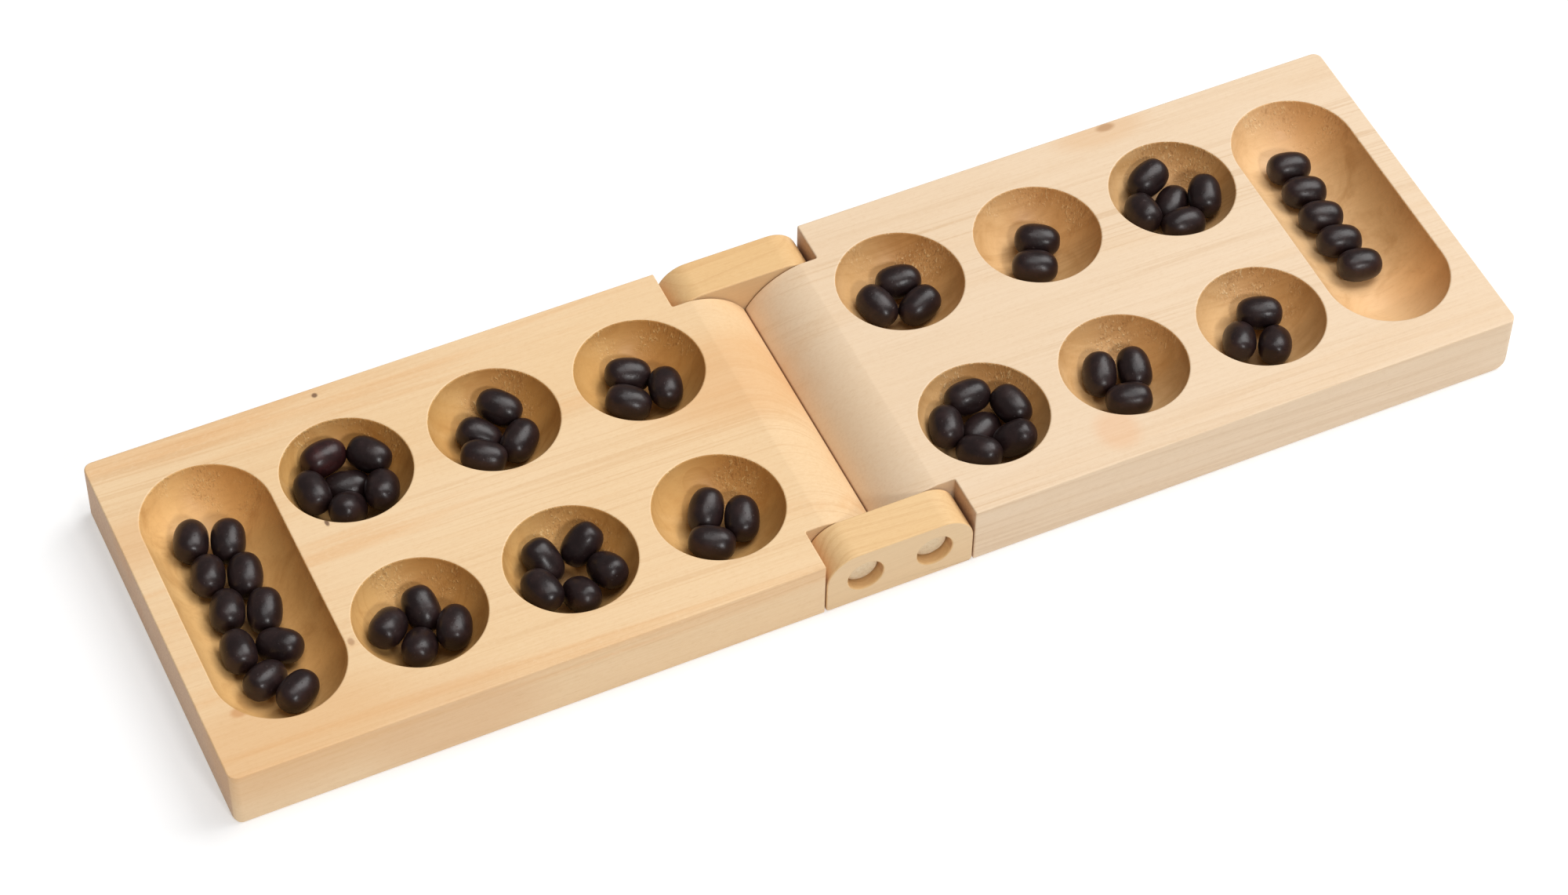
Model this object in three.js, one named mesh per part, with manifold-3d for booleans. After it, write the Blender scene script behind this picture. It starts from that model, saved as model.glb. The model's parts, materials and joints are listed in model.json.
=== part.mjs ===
// A folding mancala board, lying open. Two solid wooden halves hold six scooped pits and one long store
// each. Two wooden links, one at the front and one at the back of the seam, turn on dowels that are glued
// into the halves, so the board folds with its pits facing each other. The seeds lie in the hollows.
// Millimetres, +X along the open board, -Y towards the player, +Z up, origin under the seam on the table.
import * as THREE from "three";
import { mergeVertices } from "three/addons/utils/BufferGeometryUtils.js";
import Module from "manifold-3d";

const wasm = await Module();
wasm.setup();

// Board halves
const boardWidth = 110;
const boardThickness = 19;
const seamGap = 0.3; // between the two flat seam faces
const seamRoundLength = 16.5; // how far the rounded seam edge reaches along the top
const seamRoundRadius = 22;
const seamFaceDrop = 1.5; // the flat seam face ends this far below the pins
const planCornerRadius = 2.5;
const topEdgeRadius = 1;
const leftBottomRadius = 1.8; // bottom edge at each half's outer end
const rightBottomRadius = 5;

// Pits and stores, all scooped by one ball-nosed cutter
const cutterRadius = 17.9;
const pitDepth = 14;
const storeDepth = 14;
const seamMargin = 20.9; // seam to the rim of the first pit
const pitWall = 6.6; // between neighbouring pits of a row
const rowWall = 16; // between the two rows
const storeWall = 3.4; // between the last pit and the store
const endMargin = 6.4; // from the store to the end of the board

// Hinge
const foldedGap = 0.8; // between the two tops when the board is shut
const linkThickness = 12.4;
const linkOverhang = 11.15; // from each pin to the end of the link
const linkCornerFlat = 0.5; // what the big top corners leave of the link's end faces
const linkBottomRadius = 1;
const linkSideGap = 0.4; // between a link and the tongue beside it
const linkEndGap = 0.3; // between a turning link and the end of its notch
const dowelRadius = 4.75;
const dowelChamfer = 0.5;
const dowelRecess = 2.8; // from the link's outer face to the dowel's end
const boreDepth = 16; // how deep a dowel is glued into the tongue
const glueGap = 0.15;
const runningGap = 0.3;

// Seeds
const seedLength = 12.4;
const seedDiameter = 9.2;
const seedBluntness = 2.3; // exponent of the seed's rounded-barrel outline, where 2 is an ellipse
const seedGap = 0.35; // between seeds, and between a seed and the wood
const rimGap = 0.05; // seeds reach no higher than this far below the rim, so the board can shut on them
const neckRadius = 1.4; // of the neck that joins two touching seeds into one solid
const ballCount = 7; // a seed is settled as a row of this many balls
const settleSteps = 600;
const sinkShare = 0.6; // seeds sink, and are kept under the rim, for this share of the steps
const sinkStep = 0.03;

// Facets
const roundSegments = 32;
const cutterRings = 7;
const seedSegments = 10;
const seedRings = 3; // on each half of a seed

// Derived places
const pinHeight = boardThickness / 2;
const pinOffset = (boardThickness + foldedGap) / 2;
const linkHalfLength = pinOffset + linkOverhang;
const linkTopRadius = Math.min(linkOverhang, pinHeight) - linkCornerFlat;
const linkSweep = linkTopRadius
  + Math.hypot(linkOverhang - linkTopRadius, pinHeight - linkTopRadius);
const notchLength = pinOffset + linkSweep + linkEndGap;
const tongueHalfWidth = boardWidth / 2 - linkThickness - linkSideGap;
const rimRadius = (depth) => Math.sqrt(cutterRadius ** 2 - (cutterRadius - depth) ** 2);
const pitRadius = rimRadius(pitDepth);
const storeRadius = rimRadius(storeDepth);
const rowOffset = rowWall / 2 + pitRadius;
const pitX = (column) => seamMargin + pitRadius + column * (2 * pitRadius + pitWall);
const storeX = pitX(2) + pitRadius + storeWall + storeRadius;
const halfLength = storeX + storeRadius + endMargin;

// Each seed: how far its middle lies right of and behind its hollow's centre, and the heading of its long
// axis in degrees from +X. The first pairs of a list are joined two by two, as many as `joined` says.
const hollows = [
  { name: "left_store", side: -1, joined: 5, seeds: [
    [-6, 25, 64], [3.5, 23, 64], [-6, 12.5, 62], [3, 10.5, 72], [-4.5, 0.5, 69],
    [5, -2.5, 67], [-7.5, -14, 85], [3, -14.5, -18], [-4, -25, 28], [3, -32, 0],
  ] },
  { name: "left_outer_back", side: -1, column: 2, row: 1, joined: 1, seeds: [
    [-0.5, 1, -24], [-3, 7.5, -24], [7, 4.5, 85], [-10, -3, -86], [-2.5, -7, -20], [6.5, -7.5, 28],
  ] },
  { name: "left_mid_back", side: -1, column: 1, row: 1, joined: 0, seeds: [
    [4.5, 8, -31], [-4, 3, -55], [5.5, -5, 41], [-5.5, -7, -31],
  ] },
  { name: "left_inner_back", side: -1, column: 0, row: 1, joined: 0, seeds: [
    [-1, 6.5, -24], [6.5, -4, 64], [-4.5, -4.5, -28],
  ] },
  { name: "left_outer_front", side: -1, column: 2, row: -1, joined: 0, seeds: [
    [3, 7, -61], [-8, 2.5, 57], [7.5, -4.5, 41], [-3, -6, 61],
  ] },
  { name: "left_mid_front", side: -1, column: 1, row: -1, joined: 1, seeds: [
    [-4, 5, -72], [-9.5, -3, -67], [6, 8.5, 28], [8, -3.5, -67], [-1, -8, -31],
  ] },
  { name: "left_inner_front", side: -1, column: 0, row: -1, joined: 0, seeds: [
    [-0.5, 6.5, 61], [7, -1, 64], [-4, -5.5, -18],
  ] },
  { name: "right_inner_back", side: 1, column: 0, row: 1, joined: 0, seeds: [
    [2.5, 6.5, -18], [-7, 0.5, -72], [4.5, -4, 12],
  ] },
  { name: "right_mid_back", side: 1, column: 1, row: 1, joined: 0, seeds: [
    [3, 4.5, -31], [-2.5, -4.5, -18],
  ] },
  { name: "right_outer_back", side: 1, column: 2, row: 1, joined: 1, seeds: [
    [1.5, 2.5, 41], [-1.5, 11, 28], [-9.5, -0.5, 89], [9.5, -1, 45], [-0.5, -8, -24],
  ] },
  { name: "right_inner_front", side: 1, column: 0, row: -1, joined: 1, seeds: [
    [1, 3, -24], [3, -3.5, -55], [-1, 9.5, -82], [9, 4, -82], [-8.5, 2.5, -61], [-5.5, -6.5, -37],
  ] },
  { name: "right_mid_front", side: 1, column: 1, row: -1, joined: 0, seeds: [
    [-5, 5.5, 77], [5.5, 3.5, 73], [-1.5, -6, -18],
  ] },
  { name: "right_outer_front", side: 1, column: 2, row: -1, joined: 0, seeds: [
    [3.5, 7, -20], [-6, 0, 57], [2, -5, 57],
  ] },
  { name: "right_store", side: 1, joined: 1, seeds: [
    [-1, 26, -11], [-2, 16, -14], [-2.5, 6, -14], [-2, -4, -14], [-0.5, -13.5, -14],
  ] },
];

const paleMaple = new THREE.MeshStandardMaterial({ color: 0xf0d6ac, roughness: 0.55 });
const honeyMaple = new THREE.MeshStandardMaterial({ color: 0xefcfa2, roughness: 0.55 });
const linkWood = new THREE.MeshStandardMaterial({ color: 0xedc58d, roughness: 0.5 });
const dowelWood = new THREE.MeshStandardMaterial({ color: 0xe9d9b4, roughness: 0.7 });
const darkSeed = new THREE.MeshStandardMaterial({ color: 0x2d2222, roughness: 0.35 });

// A closed geometry as a manifold-3d solid, and back.
function solidOf(geometry) {
  const bare = new THREE.BufferGeometry();
  bare.setAttribute("position", geometry.getAttribute("position"));
  bare.setIndex(geometry.getIndex());
  const merged = mergeVertices(bare, 1e-4);
  return new wasm.Manifold(new wasm.Mesh({
    numProp: 3,
    vertProperties: merged.attributes.position.array,
    triVerts: new Uint32Array(merged.index.array),
  }));
}

function geometryOf(solid) {
  const { vertProperties, triVerts } = solid.getMesh();
  const geometry = new THREE.BufferGeometry();
  geometry.setAttribute("position", new THREE.BufferAttribute(vertProperties, 3));
  geometry.setIndex(new THREE.BufferAttribute(triVerts, 1));
  geometry.computeVertexNormals();
  return geometry;
}

// Points on the arc of a given radius from one point to another, bulging to the left of that direction.
function arcBetween(start, end, radius, steps) {
  const middle = start.clone().add(end).multiplyScalar(0.5);
  const along = end.clone().sub(start);
  const halfChord = along.length() / 2;
  const left = new THREE.Vector2(-along.y, along.x).normalize();
  const centre = middle.addScaledVector(left, -Math.sqrt(radius ** 2 - halfChord ** 2));
  const from = start.clone().sub(centre).angle();
  const turn = -2 * Math.asin(halfChord / radius);
  return Array.from({ length: steps + 1 }, (_, i) => {
    const angle = from + (turn * i) / steps;
    return new THREE.Vector2(Math.cos(angle), Math.sin(angle)).multiplyScalar(radius).add(centre);
  });
}

// A side outline in X and Z, drawn out along Y.
function prismAlongY(outline, fromY, toY) {
  return new THREE.ExtrudeGeometry(new THREE.Shape(outline), { depth: toY - fromY, bevelEnabled: false })
    .rotateX(Math.PI / 2)
    .translate(0, toY, 0);
}

function boxBetween(low, high) {
  const size = high.clone().sub(low);
  return new THREE.BoxGeometry(size.x, size.y, size.z).translate(
    (low.x + high.x) / 2, (low.y + high.y) / 2, (low.z + high.z) / 2);
}

// A round bar along Y, with a small chamfer at each end where one is given.
function barAlongY(radius, fromY, toY, chamfer = 0) {
  const rim = [new THREE.Vector2(radius - chamfer, fromY), new THREE.Vector2(radius, fromY + chamfer),
    new THREE.Vector2(radius, toY - chamfer), new THREE.Vector2(radius - chamfer, toY)];
  const profile = chamfer > 0 ? rim : [rim[0], rim[3]];
  return new THREE.LatheGeometry(
    [new THREE.Vector2(0, fromY), ...profile, new THREE.Vector2(0, toY)], roundSegments);
}

// The cutter's side outline: a half round at the bottom and a straight shank above it.
function cutterArc() {
  return Array.from({ length: cutterRings + 1 }, (_, i) => {
    const angle = (i / cutterRings) * (Math.PI / 2);
    return new THREE.Vector2(cutterRadius * Math.sin(angle), -cutterRadius * Math.cos(angle));
  });
}

// What the cutter removes when it plunges at one place, with its lowest point at the given depth.
function plungeCut(x, y, depth) {
  const shankTop = boardThickness;
  const profile = [...cutterArc(), new THREE.Vector2(cutterRadius, shankTop), new THREE.Vector2(0, shankTop)];
  return solidOf(new THREE.LatheGeometry(profile, roundSegments)
    .rotateX(Math.PI / 2)
    .translate(x, y, boardThickness - depth + cutterRadius));
}

// What it removes when it plunges on one row line and is drawn to the other.
function storeCut(x) {
  const right = cutterArc();
  const left = right.slice(1).reverse().map((p) => new THREE.Vector2(-p.x, p.y));
  const shankTop = boardThickness;
  const outline = [...left, ...right,
    new THREE.Vector2(cutterRadius, shankTop), new THREE.Vector2(-cutterRadius, shankTop)];
  const channel = solidOf(prismAlongY(outline, -rowOffset, rowOffset)
    .translate(x, 0, boardThickness - storeDepth + cutterRadius));
  return channel.add(plungeCut(x, -rowOffset, storeDepth)).add(plungeCut(x, rowOffset, storeDepth));
}

function roundedCorner(x, z, radius, fromAngle, toAngle, steps = 4) {
  return Array.from({ length: steps + 1 }, (_, i) => {
    const angle = THREE.MathUtils.degToRad(fromAngle + ((toAngle - fromAngle) * i) / steps);
    return new THREE.Vector2(x + radius * Math.cos(angle), z + radius * Math.sin(angle));
  });
}

// One half of the board; side is -1 for the left half and 1 for the right.
function boardHalf(side, bottomRadius) {
  const seamX = seamGap / 2;
  const seamRound = arcBetween(new THREE.Vector2(seamX, pinHeight - seamFaceDrop),
    new THREE.Vector2(seamRoundLength, boardThickness), seamRoundRadius, 10);
  const outline = [new THREE.Vector2(seamX, 0), ...seamRound,
    ...roundedCorner(halfLength - topEdgeRadius, boardThickness - topEdgeRadius, topEdgeRadius, 90, 0, 2),
    ...roundedCorner(halfLength - bottomRadius, bottomRadius, bottomRadius, 0, -90)];
  const inPlan = [new THREE.Vector2(0, -boardWidth / 2), new THREE.Vector2(0, boardWidth / 2),
    ...roundedCorner(halfLength - planCornerRadius, boardWidth / 2 - planCornerRadius, planCornerRadius, 90, 0),
    ...roundedCorner(halfLength - planCornerRadius, planCornerRadius - boardWidth / 2, planCornerRadius, 0, -90)];
  const mirrored = (points) => points.map((p) => new THREE.Vector2(side * p.x, p.y));

  let solid = solidOf(prismAlongY(mirrored(outline), -boardWidth / 2, boardWidth / 2));
  const plan = new THREE.Shape(mirrored(inPlan));
  solid = solid.intersect(solidOf(
    new THREE.ExtrudeGeometry(plan, { depth: boardThickness + 2, bevelEnabled: false }).translate(0, 0, -1)));

  for (const frontOrBack of [-1, 1]) {
    const notchX = [side * notchLength, -side].sort((a, b) => a - b);
    const notchY = [frontOrBack * tongueHalfWidth, frontOrBack * boardWidth].sort((a, b) => a - b);
    solid = solid.subtract(solidOf(boxBetween(
      new THREE.Vector3(notchX[0], notchY[0], -1), new THREE.Vector3(notchX[1], notchY[1], boardThickness + 1))));
    const boreY = [frontOrBack * (tongueHalfWidth - boreDepth), frontOrBack * (tongueHalfWidth + 1)]
      .sort((a, b) => a - b);
    solid = solid.subtract(solidOf(
      barAlongY(dowelRadius + glueGap, boreY[0], boreY[1]).translate(side * pinOffset, 0, pinHeight)));
    for (const column of [0, 1, 2]) {
      solid = solid.subtract(plungeCut(side * pitX(column), frontOrBack * rowOffset, pitDepth));
    }
  }
  return geometryOf(solid.subtract(storeCut(side * storeX)));
}

// A hinge link, centred on the seam with its outer face at Y = 0 and its body behind that.
function hingeLink() {
  const top = boardThickness - linkTopRadius;
  const inset = linkHalfLength - linkTopRadius;
  const outline = [
    ...roundedCorner(-inset, top, linkTopRadius, 180, 90, 8),
    ...roundedCorner(inset, top, linkTopRadius, 90, 0, 8),
    ...roundedCorner(linkHalfLength - linkBottomRadius, linkBottomRadius, linkBottomRadius, 0, -90, 2),
    ...roundedCorner(linkBottomRadius - linkHalfLength, linkBottomRadius, linkBottomRadius, -90, -180, 2),
  ];
  let solid = solidOf(prismAlongY(outline, 0, linkThickness));
  for (const side of [-1, 1]) {
    solid = solid.subtract(solidOf(barAlongY(dowelRadius + runningGap, -1, linkThickness + 1)
      .translate(side * pinOffset, 0, pinHeight)));
  }
  return geometryOf(solid);
}

// The radius of a seed at a distance from its middle along the long axis.
function seedRadius(along) {
  const share = Math.min(1, Math.abs(along) / (seedLength / 2));
  return (seedDiameter / 2) * (1 - share ** seedBluntness) ** (1 / seedBluntness);
}

// A seed standing on its long axis, Y.
function seedGeometry() {
  const profile = Array.from({ length: 2 * seedRings + 1 }, (_, i) => {
    const along = (-seedLength / 2) * Math.cos((i / (2 * seedRings)) * Math.PI);
    return new THREE.Vector2(seedRadius(along), along);
  });
  profile[0].x = 0;
  profile[2 * seedRings].x = 0;
  return new THREE.LatheGeometry(profile, seedSegments);
}

// The row of balls that a seed is settled as: each is the largest that fits in the seed around its place.
const outerBallPlace = (seedLength - seedDiameter) * 0.8;
const ballPlaces = Array.from({ length: ballCount }, (_, i) => outerBallPlace * ((2 * i) / (ballCount - 1) - 1));
const ballRadii = ballPlaces.map((place) => {
  const samples = Array.from({ length: 100 }, (_, i) => (seedLength / 2) * (i / 50 - 1));
  return Math.min(...samples.map((along) => Math.hypot(along - place, seedRadius(along))));
});

// The hollow as a line that the cutter's centre was drawn along.
function cutterPath(hollow) {
  const isStore = hollow.row === undefined;
  const x = hollow.side * (isStore ? storeX : pitX(hollow.column));
  const y = isStore ? 0 : hollow.row * rowOffset;
  const reach = isStore ? rowOffset : 0;
  const depth = isStore ? storeDepth : pitDepth;
  return { centre: new THREE.Vector3(x, y, boardThickness - depth + cutterRadius), reach };
}

// Sinks the seeds of one hollow until they rest on the wood and on each other, just clear of all of it.
function settle(hollow) {
  const { centre, reach } = cutterPath(hollow);
  const lastBall = ballCount - 1;
  const span = 2 * outerBallPlace;
  const rows = hollow.seeds.map(([right, behind, heading]) => {
    const angle = THREE.MathUtils.degToRad(heading);
    const along = new THREE.Vector3(Math.cos(angle), Math.sin(angle), 0).multiplyScalar(span / 2);
    const middle = new THREE.Vector3(centre.x + right, centre.y + behind, boardThickness - seedDiameter / 2);
    return [middle.clone().sub(along), middle.clone().add(along)];
  });
  const ballAt = (row, i) => row[0].clone().lerp(row[1], i / lastBall);
  const push = (row, i, by) => {
    row[0].addScaledVector(by, 1 - i / lastBall);
    row[1].addScaledVector(by, i / lastBall);
  };
  for (let step = 0; step < settleSteps; step += 1) {
    const sinking = step < sinkShare * settleSteps;
    if (sinking) rows.flat().forEach((end) => { end.z -= sinkStep; });
    for (let a = 0; a < rows.length; a += 1) {
      for (let b = a + 1; b < rows.length; b += 1) {
        for (let i = 0; i < ballCount; i += 1) {
          for (let j = 0; j < ballCount; j += 1) {
            const apart = ballAt(rows[b], j).sub(ballAt(rows[a], i));
            const lack = ballRadii[i] + ballRadii[j] + seedGap - apart.length();
            if (lack > 0) {
              apart.setLength(lack / 2);
              push(rows[b], j, apart);
              push(rows[a], i, apart.negate());
            }
          }
        }
      }
    }
    for (const row of rows) {
      for (let i = 0; i < ballCount; i += 1) {
        const ball = ballAt(row, i);
        const onPath = centre.clone();
        onPath.y = THREE.MathUtils.clamp(ball.y, centre.y - reach, centre.y + reach);
        const inwards = onPath.sub(ball);
        const excess = inwards.length() - (cutterRadius - ballRadii[i] - seedGap);
        if (excess > 0) push(row, i, inwards.setLength(excess));
        const proud = ball.z + ballRadii[i] - (boardThickness - rimGap);
        if (sinking && proud > 0) push(row, i, new THREE.Vector3(0, 0, -proud));
      }
      const middle = row[0].clone().add(row[1]).multiplyScalar(0.5);
      const along = row[1].clone().sub(row[0]).setLength(span / 2);
      row[0].copy(middle).sub(along);
      row[1].copy(middle).add(along);
    }
  }
  return rows.map((row) => ({
    middle: row[0].clone().add(row[1]).multiplyScalar(0.5),
    along: row[1].clone().sub(row[0]).normalize(),
  }));
}

const standing = new THREE.Vector3(0, 1, 0);
const seedShape = seedGeometry();

function seedSolid({ middle, along }) {
  const turn = new THREE.Quaternion().setFromUnitVectors(standing, along);
  return solidOf(seedShape.clone().applyQuaternion(turn).translate(middle.x, middle.y, middle.z));
}

// Two touching seeds as one solid, joined by a thin neck between their middles.
function seedPair(first, second) {
  const between = second.middle.clone().sub(first.middle);
  const neck = new THREE.CylinderGeometry(neckRadius, neckRadius, between.length(), 8)
    .applyQuaternion(new THREE.Quaternion().setFromUnitVectors(standing, between.clone().normalize()));
  const centre = first.middle.clone().addScaledVector(between, 0.5);
  const solid = seedSolid(first).add(seedSolid(second))
    .add(solidOf(neck.translate(centre.x, centre.y, centre.z)));
  return geometryOf(solid);
}

function namedMesh(name, geometry, material) {
  const mesh = new THREE.Mesh(geometry, material);
  mesh.name = name;
  return mesh;
}

function seedsOf(hollow) {
  const group = new THREE.Group();
  const settled = settle(hollow);
  for (let pair = 0; pair < hollow.joined; pair += 1) {
    group.add(namedMesh(`${hollow.name}_seeds_${pair + 1}`,
      seedPair(settled[2 * pair], settled[2 * pair + 1]), darkSeed));
  }
  settled.slice(2 * hollow.joined).forEach((seed, i) => {
    const mesh = namedMesh(`${hollow.name}_seed_${hollow.joined + i + 1}`, seedShape, darkSeed);
    mesh.position.copy(seed.middle);
    mesh.quaternion.setFromUnitVectors(standing, seed.along);
    group.add(mesh);
  });
  return group;
}

const board = new THREE.Group();
const halves = { left: { side: -1, material: honeyMaple, bottomRadius: leftBottomRadius },
  right: { side: 1, material: paleMaple, bottomRadius: rightBottomRadius } };
const ends = { front: -1, back: 1 };
const dowelLength = boardWidth / 2 - dowelRecess - (tongueHalfWidth - boreDepth) - runningGap;
const dowelShape = barAlongY(dowelRadius, -dowelLength / 2, dowelLength / 2, dowelChamfer);
const linkShape = hingeLink();

for (const [name, half] of Object.entries(halves)) {
  const group = new THREE.Group();
  group.add(namedMesh(`${name}_board`, boardHalf(half.side, half.bottomRadius), half.material));
  for (const [end, towards] of Object.entries(ends)) {
    const dowel = namedMesh(`${name}_${end}_dowel`, dowelShape, dowelWood);
    const dowelY = towards * (boardWidth / 2 - dowelRecess - dowelLength / 2);
    dowel.position.set(half.side * pinOffset, dowelY, pinHeight);
    group.add(dowel);
  }
  hollows.filter((hollow) => hollow.side === half.side).forEach((hollow) => group.add(seedsOf(hollow)));
  board.add(group);
}

for (const [end, towards] of Object.entries(ends)) {
  const link = namedMesh(`${end}_link`, linkShape, linkWood);
  link.position.y = towards < 0 ? -boardWidth / 2 : boardWidth / 2 - linkThickness;
  board.add(link);
}

export default board;
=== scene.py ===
# Folding mancala board, lying open, with its seeds in the hollows.
# Metres, +X along the open board, -Y towards the player, +Z up, origin under the seam.
import bmesh
import bpy
import json
import math
import random
from mathutils import Matrix, Vector, noise


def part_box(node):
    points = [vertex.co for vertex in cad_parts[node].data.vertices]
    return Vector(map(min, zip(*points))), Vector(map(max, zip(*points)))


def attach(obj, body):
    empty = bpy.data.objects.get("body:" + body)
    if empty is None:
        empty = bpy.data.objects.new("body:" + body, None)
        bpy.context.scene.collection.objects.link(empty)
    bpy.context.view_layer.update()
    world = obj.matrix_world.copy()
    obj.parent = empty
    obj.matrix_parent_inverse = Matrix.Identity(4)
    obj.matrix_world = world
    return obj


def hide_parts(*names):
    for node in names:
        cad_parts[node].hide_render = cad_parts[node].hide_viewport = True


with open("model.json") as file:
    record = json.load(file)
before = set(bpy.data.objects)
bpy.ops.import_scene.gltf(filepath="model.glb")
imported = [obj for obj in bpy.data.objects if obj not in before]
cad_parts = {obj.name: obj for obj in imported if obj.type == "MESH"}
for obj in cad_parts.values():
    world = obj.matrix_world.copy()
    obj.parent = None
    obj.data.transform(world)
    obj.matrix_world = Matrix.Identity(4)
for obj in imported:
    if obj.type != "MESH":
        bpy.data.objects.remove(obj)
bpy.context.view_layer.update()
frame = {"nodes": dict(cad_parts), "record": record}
scene = bpy.context.scene
mm = 0.001
print("frame loaded:", len(frame["nodes"]), "CAD nodes")


# shader helpers
class Signal:
    # an output socket; arithmetic on it adds Math nodes to its material
    def __init__(self, recipe, socket):
        self.recipe, self.socket = recipe, socket

    def math(self, operation, *values):
        return self.recipe.add("ShaderNodeMath", {"operation": operation}, dict(enumerate(values)))

    def __add__(self, other):
        return self.math("ADD", self, other)

    def __sub__(self, other):
        return self.math("SUBTRACT", self, other)

    def __rsub__(self, other):
        return self.math("SUBTRACT", other, self)

    def __mul__(self, other):
        return self.math("MULTIPLY", self, other)

    def __truediv__(self, other):
        return self.math("DIVIDE", self, other)

    def __abs__(self):
        return self.math("ABSOLUTE", self)

    __radd__ = __add__
    __rmul__ = __mul__

    # 0 below low, 1 above high, smooth between; low may be the larger one
    def ramp(self, low, high):
        return self.recipe.add("ShaderNodeMapRange", {"interpolation_type": "SMOOTHSTEP", "clamp": True},
                               {0: self, 1: low, 2: high, 3: 0.0, 4: 1.0})


class Recipe:
    # one material and its nodes
    def __init__(self, name):
        self.material = bpy.data.materials.new(name)
        self.material.use_nodes = True
        self.tree = self.material.node_tree
        self.tree.nodes.clear()
        coordinates = self.tree.nodes.new("ShaderNodeTexCoord")
        self.place = Signal(self, coordinates.outputs["Object"])
        self.facing = Signal(self, coordinates.outputs["Normal"])

    # a node: its settings first, then the values or links of its sockets
    def add(self, kind, settings=None, inputs=None, output=0):
        node = self.tree.nodes.new(kind)
        for key, value in (settings or {}).items():
            setattr(node, key, value)
        for key, value in (inputs or {}).items():
            if isinstance(value, Signal):
                self.tree.links.new(value.socket, node.inputs[key])
            else:
                node.inputs[key].default_value = value
        return Signal(self, node.outputs[output])

    # noise with its own stretch on each axis, in cycles per metre
    def grain(self, cycles, detail=2.0, rough=0.5, offset=(0, 0, 0), warp=0.0):
        stretched = self.add("ShaderNodeMapping", {"vector_type": "TEXTURE"}, {
            "Vector": self.place, "Location": offset, "Scale": tuple(1 / c for c in cycles)})
        return self.add("ShaderNodeTexNoise", {"normalize": True}, {
            "Vector": stretched, "Scale": 1.0, "Detail": detail, "Roughness": rough, "Distortion": warp})

    def axis(self, vector, index):
        return self.add("ShaderNodeSeparateXYZ", {}, {0: vector}, index)

    def blend(self, share, first, second, mode="MIX"):
        node = self.tree.nodes.new("ShaderNodeMix")
        node.data_type, node.blend_type = "RGBA", mode
        for key, value in ((0, share), (6, first), (7, second)):
            if isinstance(value, Signal):
                self.tree.links.new(value.socket, node.inputs[key])
            elif key == 0:
                node.inputs[key].default_value = value
            else:
                node.inputs[key].default_value = (*value, 1.0)
        return Signal(self, node.outputs[2])

    def bump(self, height, strength, distance):
        return self.add("ShaderNodeBump", {}, {"Height": height, "Strength": strength, "Distance": distance})

    # a spot round a point: 1 in its middle, 0 from its radius on
    def spot(self, centre, radius, stretch=(1, 1, 1)):
        away = self.add("ShaderNodeVectorMath", {"operation": "SUBTRACT"}, {0: self.place, 1: centre})
        scaled = self.add("ShaderNodeVectorMath", {"operation": "MULTIPLY"}, {0: away, 1: stretch})
        length = self.add("ShaderNodeVectorMath", {"operation": "LENGTH"}, {0: scaled}, 1)
        return length.ramp(radius, radius * 0.4)

    def finish(self, **sockets):
        shader = self.tree.nodes.new("ShaderNodeBsdfPrincipled")
        for name, value in sockets.items():
            socket = shader.inputs[name.replace("_", " ")]
            if isinstance(value, Signal):
                self.tree.links.new(value.socket, socket)
            else:
                socket.default_value = value
        output = self.tree.nodes.new("ShaderNodeOutputMaterial")
        self.tree.links.new(shader.outputs[0], output.inputs[0])
        return self.material


# sRGB 0 to 255 as the linear values that shaders use
def tone(red, green, blue):
    return tuple((c / 255 / 12.92) if c <= 10 else ((c / 255 + 0.055) / 1.055) ** 2.4 for c in (red, green, blue))


# woods
leftWood = {
    "base": tone(229, 195, 150), "pale": tone(234, 205, 166),
    "streak": tone(222, 171, 116), "line": tone(203, 157, 106),
    "streakShare": 0.75, "lineShare": 0.3, "pith": (0, 0.16, -0.10), "tilt": (0, 0.01, 0.01),
    "ringPitch": 0.0085, "seed": 3.1, "end": tone(190, 146, 119),
    "marks": [((-0.1200, 0.0523, 0.019), 0.0011, (1, 1, 1), tone(90, 55, 35), 0.8),
              ((-0.0109, 0.0134, 0.019), 0.022, (0.5, 1, 1), tone(216, 160, 100), 0.45),
              ((-0.1693, -0.0481, 0.019), 0.020, (0.4, 1, 1), tone(214, 160, 100), 0.4),
              ((-0.1780, 0.0248, 0.019), 0.012, (0.5, 1, 1), tone(216, 164, 110), 0.35),
              ((-0.1239, -0.0550, 0.010), 0.016, (0.5, 1, 1), tone(210, 160, 110), 0.35),
              ((-0.1741, -0.0362, 0.019), 0.0022, (0.7, 1, 1), tone(196, 134, 74), 0.6),
              ((-0.1408, -0.0272, 0.019), 0.0012, (1, 0.7, 1), tone(150, 100, 60), 0.55),
              ((-0.1325, 0.0110, 0.019), 0.0008, (1, 0.5, 1), tone(92, 56, 36), 0.85)],
}
rightWood = {
    "base": tone(225, 198, 165), "pale": tone(229, 205, 176),
    "streak": tone(220, 184, 142), "line": tone(200, 162, 119),
    "streakShare": 0.4, "lineShare": 0.42, "pith": (0, -0.22, -0.12), "tilt": (0, -0.01, 0.015),
    "ringPitch": 0.0095, "seed": 8.7, "end": tone(196, 158, 132),
    "marks": [((0.1151, 0.0533, 0.019), 0.0019, (0.5, 1, 1), tone(140, 90, 50), 0.8),
              ((0.1130, 0.0528, 0.019), 0.0075, (0.4, 1, 1), tone(216, 172, 124), 0.45),
              ((0.0678, -0.0447, 0.019), 0.0065, (0.8, 0.7, 1), tone(224, 170, 124), 0.4),
              ((0.0668, -0.0285, 0.0120), 0.0016, (1, 1, 0.6), tone(150, 78, 44), 0.55)],
}
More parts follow.
